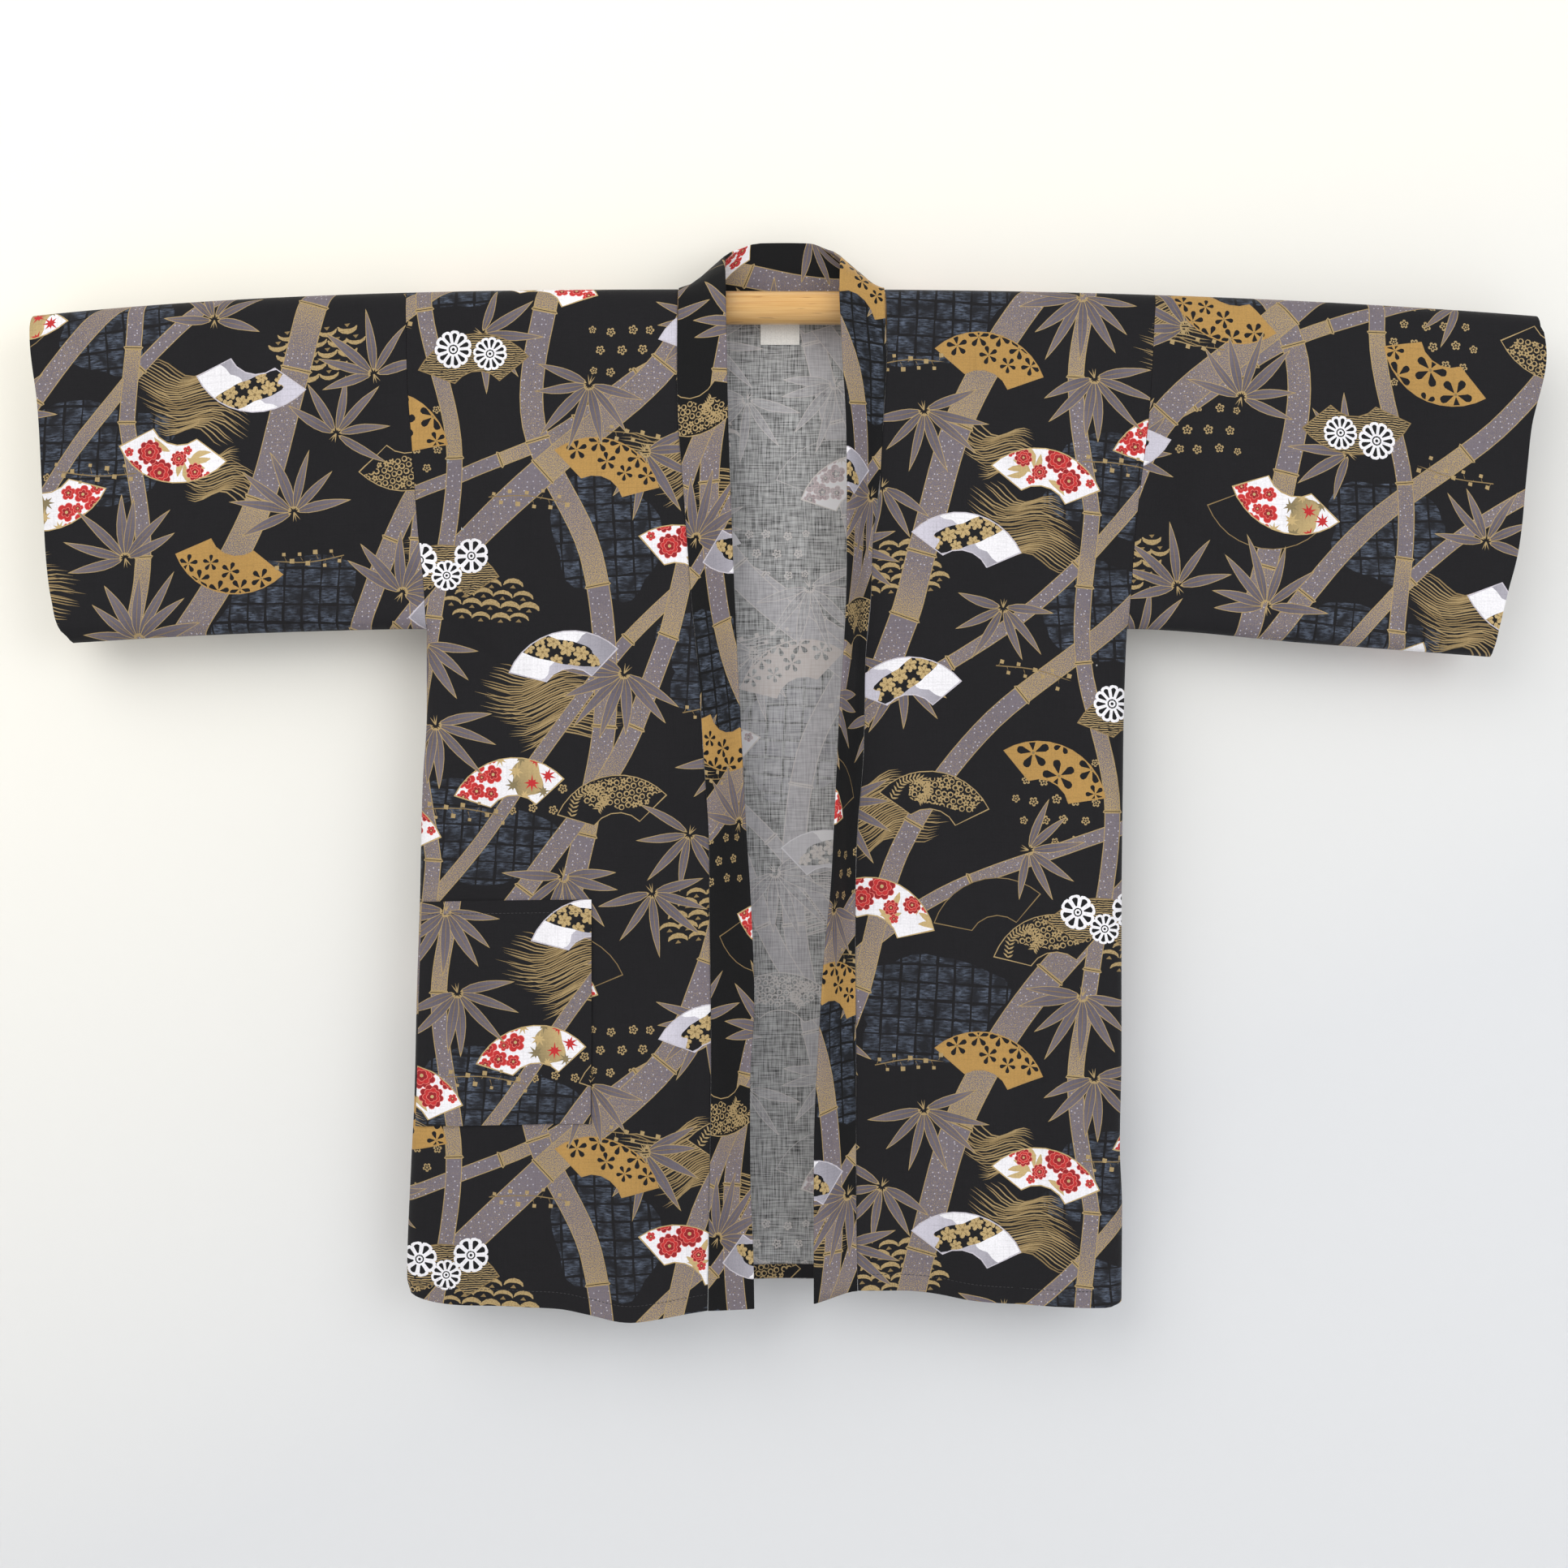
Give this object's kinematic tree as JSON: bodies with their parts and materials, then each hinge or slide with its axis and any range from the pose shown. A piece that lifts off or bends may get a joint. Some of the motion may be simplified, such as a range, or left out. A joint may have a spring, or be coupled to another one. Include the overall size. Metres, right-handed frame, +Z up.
{
  "type": "kimono jacket on bamboo pole",
  "caption": "Open-fronted straight-cut kimono jacket with wide sleeves, a standing collar band and a patch pocket, hung flat on a bamboo pole that runs through both sleeves.",
  "frame": {"origin": "middle of the bamboo pole's axis at the jacket's neck, where the pole is held", "axes": "+X along the pole towards the wearer's left sleeve, +Y from the open front to the back, +Z up"},
  "size_m": [1.2951, 0.0626, 0.9313],
  "materials": {
    "printed_cotton": "matt printed cotton, faded black ground with mauve, gold, red and white motifs; pale wrong side",
    "band_cotton": "matt printed cotton, deeper black, folded double",
    "woven_label": "matt off-white woven tape, blank",
    "bamboo": "glossy golden culm skin with fine lengthwise fibres"
  },
  "bodies": {
    "root": {"front_right": "printed_cotton", "front_left": "printed_cotton", "back": "printed_cotton", "sleeve_right": "printed_cotton", "sleeve_left": "printed_cotton", "collar_band": "band_cotton", "pocket": "printed_cotton", "back_hem": "printed_cotton", "neck_label": "woven_label", "bamboo_pole": "bamboo"}
  },
  "joints": []
}
